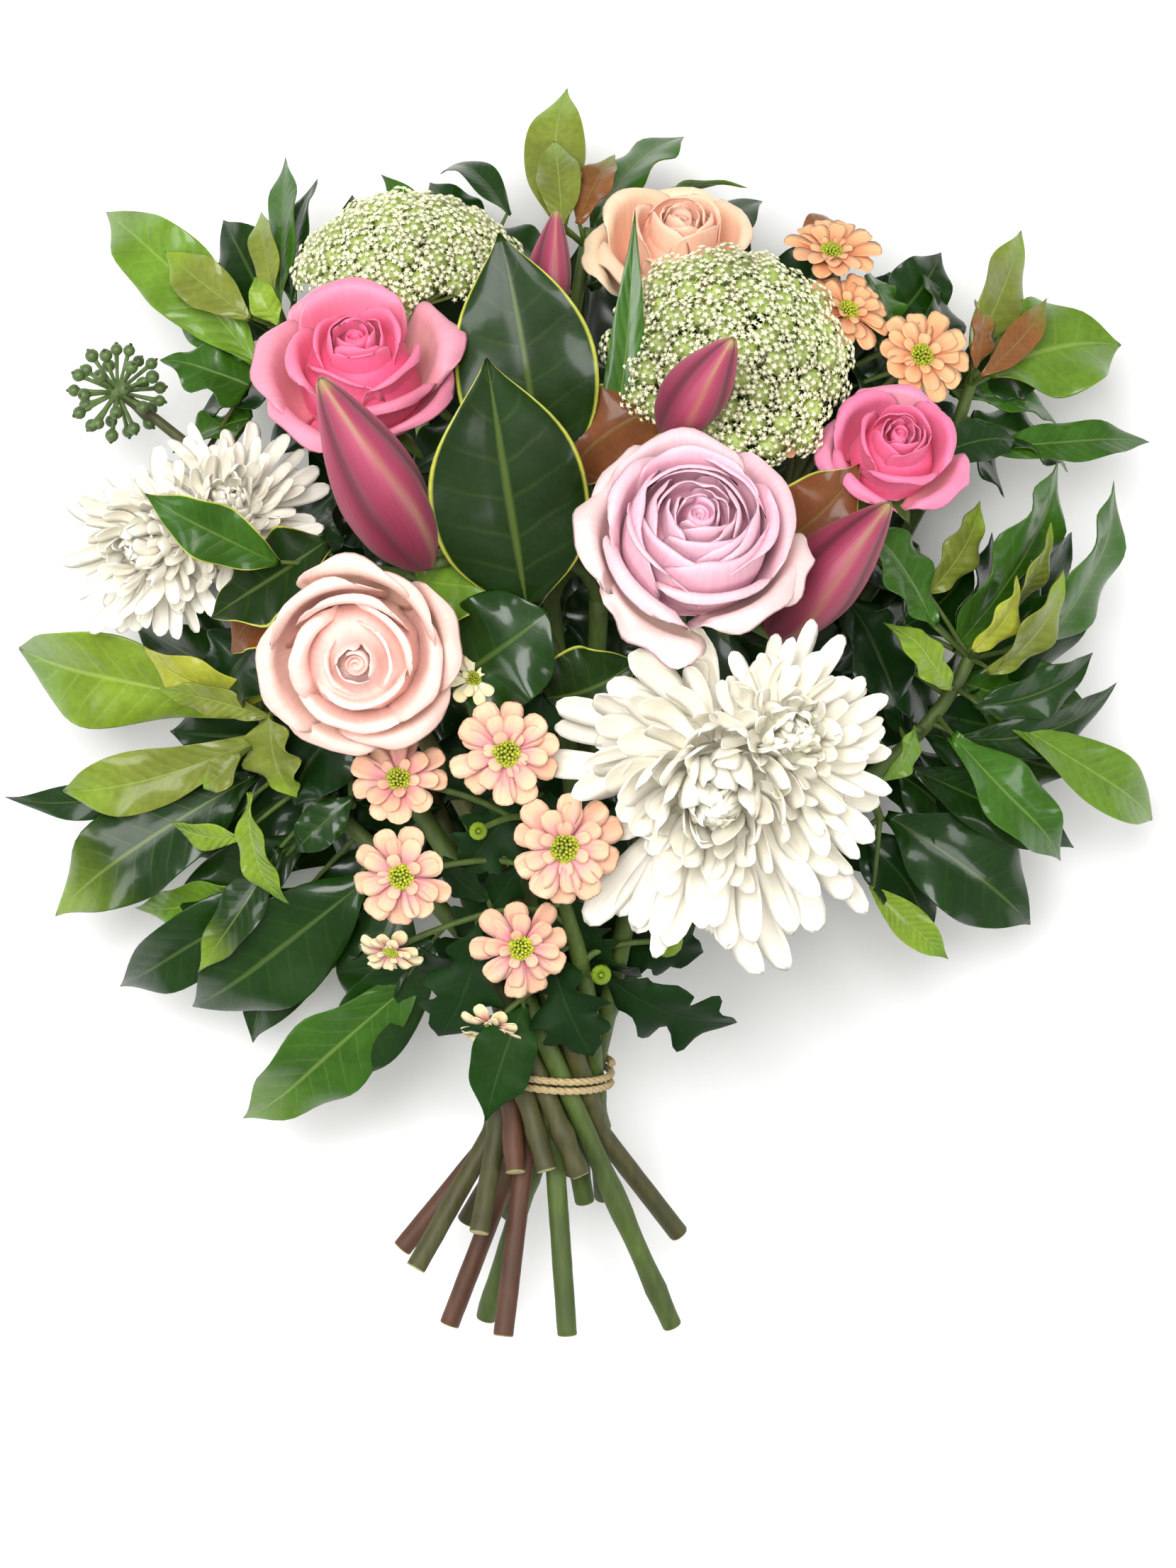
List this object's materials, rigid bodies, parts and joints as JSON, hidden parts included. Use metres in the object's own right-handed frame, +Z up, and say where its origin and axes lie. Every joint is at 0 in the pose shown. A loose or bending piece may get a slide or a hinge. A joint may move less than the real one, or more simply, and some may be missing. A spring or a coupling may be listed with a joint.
{
  "type": "flower bouquet",
  "caption": "Hand-tied round bouquet of roses, white chrysanthemums, lily buds, lace flowers and glossy leaves, lying on its back with its cut stems fanned out below the tie.",
  "frame": {"origin": "middle of the bounding box in plan, at the surface the bouquet lies on", "axes": "+X to the bouquet's right as seen from above, +Y from the cut stem ends to the flowers, +Z up from the surface towards the flowers' faces"},
  "size_m": [0.4592, 0.4856, 0.2264],
  "materials": {
    "pink_petals": "soft velvety petal",
    "lavender_petals": "soft velvety petal with cream outer petals",
    "blush_petals": "soft velvety petal",
    "white_petals": "smooth waxy petal, creamy at the centre",
    "peach_petals": "matte petal, pink towards the disc",
    "apricot_petals": "matte petal",
    "lily_buds": "satin closed bud with olive ribs",
    "lace_florets": "fine matte florets on green rays",
    "magnolia_leaves": "leathery gloss above, brown felt below",
    "glossy_leaves": "glossy leaf with paler veins",
    "back_leaves": "satin leaf underside",
    "spray_foliage": "matte lobed leaf on green stalks",
    "stems": "satin green stem, brown in places",
    "twine": "twisted natural twine"
  },
  "bodies": {
    "root": {"tie": "twine", "chrysanthemum_white_left": "white_petals", "chrysanthemum_white_left_stem": "stems", "chrysanthemum_white_right": "white_petals", "chrysanthemum_white_right_stem": "stems", "cream_blossom": "white_petals", "foliage_back": "back_leaves", "foliage_left": "glossy_leaves", "foliage_right": "glossy_leaves", "foliage_top": "glossy_leaves", "foliage_upper_right": "glossy_leaves", "ivy_berries": "glossy_leaves", "lace_flower_left": "lace_florets", "lace_flower_right": "lace_florets", "lily_bud_1": "lily_buds", "lily_bud_2": "lily_buds", "lily_bud_3": "lily_buds", "lily_bud_4": "lily_buds", "lily_stem": "stems", "magnolia_branch": "magnolia_leaves", "rose_blush": "blush_petals", "rose_blush_stem": "stems", "rose_hot_pink_left": "pink_petals", "rose_hot_pink_left_stem": "stems", "rose_hot_pink_right": "pink_petals", "rose_hot_pink_right_stem": "stems", "rose_lavender": "lavender_petals", "rose_lavender_stem": "stems", "rose_peach": "blush_petals", "rose_peach_stem": "stems", "spray_floret_front_1": "peach_petals", "spray_floret_front_2": "peach_petals", "spray_floret_front_3": "peach_petals", "spray_floret_front_4": "peach_petals", "spray_floret_front_5": "peach_petals", "spray_floret_front_6": "white_petals", "spray_floret_front_7": "white_petals", "spray_floret_right_1": "apricot_petals", "spray_floret_right_2": "apricot_petals", "spray_floret_right_3": "apricot_petals", "spray_floret_right_4": "apricot_petals", "spray_stem_front": "spray_foliage", "spray_stem_right": "stems"}
  },
  "joints": []
}
